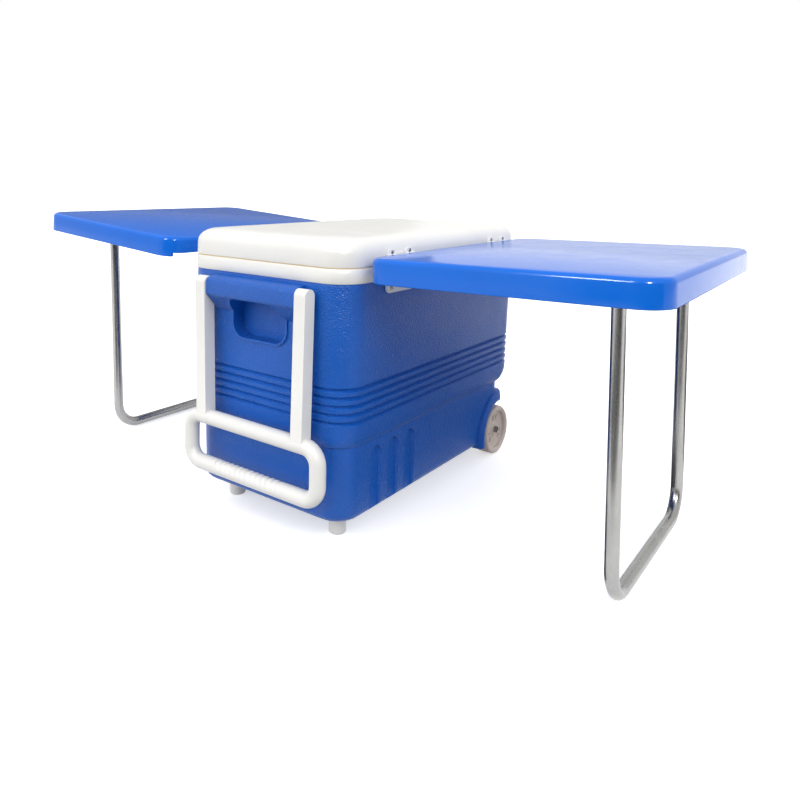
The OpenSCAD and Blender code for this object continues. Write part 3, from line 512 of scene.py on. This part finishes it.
# a head of radius one and height one
def makeScrewHead():
    bm = bmesh.new()
    profile = [bm.verts.new((1, 0, 0))]
    for step in range(screw["domeSteps"] + 1):
        angle = math.radians(90) * step / screw["domeSteps"]
        high = screw["rise"] + (1 - screw["rise"]) * math.sin(angle)
        across = math.cos(angle) ** screw["domePower"] if step < screw["domeSteps"] else 0
        profile.append(bm.verts.new((across, 0, high)))
    profile.insert(0, bm.verts.new((0, 0, 0)))
    edges = [bm.edges.new(pair) for pair in zip(profile, profile[1:])]
    bmesh.ops.spin(
        bm, geom=profile + edges, cent=(0, 0, 0), axis=(0, 0, 1), angle=math.radians(360), steps=screw["sides"],
        use_merge=True,
    )
    bmesh.ops.remove_doubles(bm, verts=bm.verts, dist=screw["merge"])
    bmesh.ops.recalc_face_normals(bm, faces=bm.faces)
    cutters = []
    for long, wide in ((screw["slotLong"], screw["slotWide"]), (screw["slotWide"], screw["slotLong"])):
        cutter = bmesh.new()
        bmesh.ops.create_cube(cutter, size=1, matrix=Matrix.Diagonal((long, wide, 2 * screw["slotDeep"], 1)))
        bmesh.ops.translate(cutter, verts=cutter.verts, vec=(0, 0, 1))
        cutters.append(cutter)
    return combined("screwHead", "DIFFERENCE", [bm] + cutters)


# middle and size of each separate solid in a node
def solidsOf(node):
    bm = bmesh.new()
    bm.from_mesh(frame["nodes"][node].data)
    bmesh.ops.remove_doubles(bm, verts=bm.verts, dist=cadMerge)
    waiting, found = set(bm.verts), []
    while waiting:
        solid, frontier = [], [waiting.pop()]
        while frontier:
            vert = frontier.pop()
            solid.append(vert)
            near = {edge.other_vert(vert) for edge in vert.link_edges} & waiting
            waiting -= near
            frontier += near
        low = Vector([min(v.co[i] for v in solid) for i in range(3)])
        high = Vector([max(v.co[i] for v in solid) for i in range(3)])
        found.append(((low + high) / 2, high - low))
    bm.free()
    return found


screwHead = makeScrewHead()
for nodeName, outward in screwFacing.items():
    bm = bmesh.new()
    facing = Vector((outward, 0, 0)).to_track_quat("Z", "Y").to_matrix().to_4x4()
    for index, (place, size) in enumerate(solidsOf(nodeName)):
        copy = screwHead.copy()
        stretch = Matrix.Diagonal((size.y / 2, size.y / 2, size.x, 1))
        seat = Matrix.Translation(place - Vector((outward * size.x / 2, 0, 0)))
        copy.transform(seat @ facing @ Matrix.Rotation(index * screw["turn"], 4, "Z") @ stretch)
        bm.from_mesh(copy)
    shadeByAngle(bm, screw["sharp"])
    screwMesh = bpy.data.meshes.new(nodeName + "_piece")
    bm.to_mesh(screwMesh)
    bm.free()
    finishPiece(screwMesh, nodeName + "_piece", nodeName)
print("screws made")


# ---- wheels: a rounded ring, a dished web with three pairs of shallow triangles, and a hub, in millimetres

wheel = {
    "radius": 50, "thick": 34, "ringIn": 37.5, "round": 5, "roundSteps": 6, "webBack": 21, "webFront": 26,
    "hub": 13, "hubFront": 28, "bore": 5.1, "back": 2, "lip": 1.5, "sides": 72,
    "cutIn": 16.5, "cutOut": 31, "cutWide": 6, "cutDeep": 2.6, "cutSplay": 15, "hubStep": 0.3, "merge": 0.001,
    "bevel": 0.0005, "sharp": 34,
}


def wheelProfile():
    w = wheel
    points = [(w["bore"], w["back"]), (w["hub"], w["back"]), (w["hub"], w["webBack"]), (w["ringIn"], w["webBack"])]
    corners = (
        (w["ringIn"], w["round"], 180), (w["radius"] - w["round"], w["round"], 270),
        (w["radius"] - w["round"], w["thick"] - w["round"], 0), (w["ringIn"] + w["round"], w["thick"] - w["round"], 90),
    )
    for index, (across, up, start) in enumerate(corners):
        across += w["round"] if index == 0 else 0
        for step in range(w["roundSteps"] + 1):
            angle = math.radians(start + 90 * step / w["roundSteps"])
            points.append((across + w["round"] * math.cos(angle), up + w["round"] * math.sin(angle)))
    lip = w["lip"]
    points += [(w["ringIn"], w["webFront"] + lip), (w["ringIn"] - lip, w["webFront"]), (w["hub"] + lip, w["webFront"])]
    points += [(w["hub"], w["hubFront"] - w["hubStep"]), (w["hub"] - lip, w["hubFront"]), (w["bore"], w["hubFront"])]
    return points


def makeWheelDisc():
    w = wheel
    bm = bmesh.new()
    ring = [bm.verts.new((across, 0, up)) for across, up in wheelProfile()]
    edges = [bm.edges.new(pair) for pair in zip(ring, ring[1:] + ring[:1])]
    bmesh.ops.spin(
        bm, geom=ring + edges, cent=(0, 0, 0), axis=(0, 0, 1), angle=math.radians(360), steps=w["sides"], use_merge=True
    )
    bmesh.ops.remove_doubles(bm, verts=bm.verts, dist=w["merge"])
    bmesh.ops.recalc_face_normals(bm, faces=bm.faces)
    cutters = []
    for third in range(3):
        for side in (-1, 1):
            cutter = bmesh.new()
            turn = math.radians(120 * third + 90 + w["cutSplay"] * side)
            corners = ((w["cutIn"], 0), (w["cutOut"], -w["cutWide"]), (w["cutOut"], w["cutWide"]))
            low = [cutter.verts.new((x, y, w["webFront"] - w["cutDeep"])) for x, y in corners]
            cutter.faces.new(low)
            grown = bmesh.ops.extrude_face_region(cutter, geom=cutter.faces[:])["geom"]
            upper = [item for item in grown if isinstance(item, bmesh.types.BMVert)]
            bmesh.ops.translate(cutter, verts=upper, vec=(0, 0, 2 * w["cutDeep"]))
            bmesh.ops.recalc_face_normals(cutter, faces=cutter.faces)
            bmesh.ops.rotate(cutter, verts=cutter.verts, cent=(0, 0, 0), matrix=Matrix.Rotation(turn, 3, "Z"))
            cutters.append(cutter)
    return combined("wheelDisc", "DIFFERENCE", [bm] + cutters)


wheelDisc = makeWheelDisc()
for nodeName, outward in (("wheel_right", 1), ("wheel_left", -1)):
    low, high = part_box(nodeName)
    copy = wheelDisc.copy()
    size = Vector(high) - Vector(low)
    facing = Vector((outward, 0, 0)).to_track_quat("Z", "Y").to_matrix().to_4x4()
    stretch = Matrix.Diagonal((
        size.z / 2 / wheel["radius"], size.y / 2 / wheel["radius"], size.x / wheel["thick"], 1,
    ))
    seat = middle(nodeName) - Vector((outward * size.x / 2, 0, 0))
    copy.transform(Matrix.Translation(seat) @ facing @ stretch)
    bm = bmesh.new()
    bm.from_mesh(copy)
    shadeByAngle(bm, wheel["sharp"])
    bm.to_mesh(copy)
    bm.free()
    copy.name = nodeName + "_piece"
    finishPiece(copy, nodeName + "_piece", nodeName, wheel["bevel"], wheel["sharp"])
print("wheels made")


# ---- camera, floor and light

photoView = {
    "place": (0.8263, -1.1328, 0.5756), "target": (-0.05569, 0.03413, 0.49198),  # from the cooler's middle on the floor
    "roll": 0.91, "lens": 32.29, "shift": (0.0549, -0.2240), "sensor": 36, "clip": (0.05, 80),
}


def makeCamera():
    place = ground + Vector(photoView["place"])
    back = (place - ground - Vector(photoView["target"])).normalized()
    right = Vector((0, 0, 1)).cross(back).normalized()
    up = back.cross(right)
    roll = math.radians(photoView["roll"])
    rolledRight = right * math.cos(roll) + up * math.sin(roll)
    rolledUp = up * math.cos(roll) - right * math.sin(roll)
    data = bpy.data.cameras.new("camera")
    data.sensor_width = photoView["sensor"]
    data.lens = photoView["lens"]
    data.shift_x, data.shift_y = photoView["shift"]
    data.clip_start, data.clip_end = photoView["clip"]
    camera = bpy.data.objects.new("camera", data)
    bpy.context.scene.collection.objects.link(camera)
    turn = Matrix((rolledRight, rolledUp, back)).transposed().to_4x4()
    camera.matrix_world = Matrix.Translation(place) @ turn
    bpy.context.scene.camera = camera


floorPlan = {"half": 30.0, "grey": 0.9, "glow": 0.5, "rough": 0.9, "gap": 0.0005, "bounceGrey": 0.4, "under": 0.002}


def makeGround(name, grey, glow, low):
    bm = bmesh.new()
    bmesh.ops.create_grid(bm, x_segments=1, y_segments=1, size=floorPlan["half"])
    plane = sceneObject(name, bm)
    plane.location.z = low
    paint = bpy.data.materials.new(name + "Paint")
    paint.use_nodes = True
    shader = paint.node_tree.nodes["Principled BSDF"]
    shader.inputs["Base Color"].default_value = (grey, grey, grey, 1)
    shader.inputs["Roughness"].default_value = floorPlan["rough"]
    shader.inputs["Emission Color"].default_value = (1, 1, 1, 1)
    shader.inputs["Emission Strength"].default_value = glow
    plane.data.materials.append(paint)
    return plane


# the pale floor, and a greyer one under it that gives the light thrown back at the cooler
def makeFloor():
    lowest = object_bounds()[0].z - floorPlan["gap"]
    pale = makeGround("floor", floorPlan["grey"], floorPlan["glow"], lowest)
    pale.visible_diffuse = False
    bounce = makeGround("bounce", floorPlan["bounceGrey"], 0.0, lowest - floorPlan["under"])
    bounce.visible_camera = bounce.visible_glossy = False


suns = {  # turn and spread in degrees
    "key": {"turn": (68, 0, -32), "power": 1.15, "spread": 60, "glossy": False},
    "fill": {"turn": (48, 0, 70), "power": 1.0, "spread": 40, "glossy": False},
}
skyStrength = 1.0
sparkAim = (0, 0, 0.3)
sparks = {  # only for the highlights on rounded edges
    "edgeSpark": {"place": (-0.2, -2.4, 2.0), "size": 0.45, "power": 45},
    "cornerSpark": {"place": (1.7, -1.65, 1.7), "size": 0.35, "power": 60},
}
cards = {  # dark cards that only reflections see: for the steel, the left leaf's top and the cooler's right side
    "front": {"middle": (1.9, -2.6, 1.3), "facing": (0.8263, -1.1328, 0), "wide": 7.0, "high": 2.6, "grey": 0.05},
    "backLeft": {"middle": (-1.75, 1.25, 1.0), "facing": (-1.26, 1.13, 0), "wide": 1.9, "high": 2.0, "grey": 0.28},
    "floorFront": {"middle": (1.1, -1.5, 0.003), "facing": (0, 0, 1), "wide": 3.2, "high": 1.9, "grey": 0.12},
    "floorRight": {"middle": (1.3, 1.2, 0.003), "facing": (0, 0, 1), "wide": 1.6, "high": 1.6, "grey": 0.05},
    "floorNear": {"middle": (0.345, 0.3, 0.003), "facing": (0, 0, 1), "wide": 0.29, "high": 1.0, "grey": 0.05},
}


def makeLights():
    for name, plan in suns.items():
        data = bpy.data.lights.new(name, "SUN")
        data.energy = plan["power"]
        data.angle = math.radians(plan["spread"])
        lamp = bpy.data.objects.new(name, data)
        lamp.rotation_euler = [math.radians(angle) for angle in plan["turn"]]
        lamp.visible_glossy = plan["glossy"]
        bpy.context.scene.collection.objects.link(lamp)
    for name, spark in sparks.items():
        data = bpy.data.lights.new(name, "AREA")
        data.size, data.energy = spark["size"], spark["power"]
        lamp = bpy.data.objects.new(name, data)
        lamp.location = ground + Vector(spark["place"])
        lamp.rotation_mode = "QUATERNION"
        lamp.rotation_quaternion = (Vector(spark["place"]) - Vector(sparkAim)).to_track_quat("Z", "Y")
        lamp.visible_diffuse = False
        bpy.context.scene.collection.objects.link(lamp)
    world = bpy.data.worlds.new("studio")
    world.use_nodes = True
    world.node_tree.nodes["Background"].inputs["Color"].default_value = (1.0, 1.0, 1.0, 1)
    world.node_tree.nodes["Background"].inputs["Strength"].default_value = skyStrength
    bpy.context.scene.world = world
    bpy.context.scene.view_settings.view_transform = "Standard"


def makeCards():
    for name, card in cards.items():
        paint = bpy.data.materials.new(name + "Paint")
        paint.use_nodes = True
        shader = paint.node_tree.nodes["Principled BSDF"]
        shader.inputs["Base Color"].default_value = (card["grey"], card["grey"], card["grey"], 1)
        shader.inputs["Roughness"].default_value = 1.0
        bm = bmesh.new()
        bmesh.ops.create_grid(bm, x_segments=1, y_segments=1, size=0.5)
        bmesh.ops.scale(bm, verts=bm.verts, vec=(card["wide"], card["high"], 1))
        panel = sceneObject(name + "Card", bm)
        panel.rotation_mode = "QUATERNION"
        panel.rotation_quaternion = Vector(card["facing"]).to_track_quat("Z", "Y")
        panel.location = ground + Vector(card["middle"])
        panel.data.materials.append(paint)
        panel.visible_camera = panel.visible_shadow = panel.visible_diffuse = False


makeCamera()
makeFloor()
makeLights()
makeCards()
print("camera, floor and lights made")
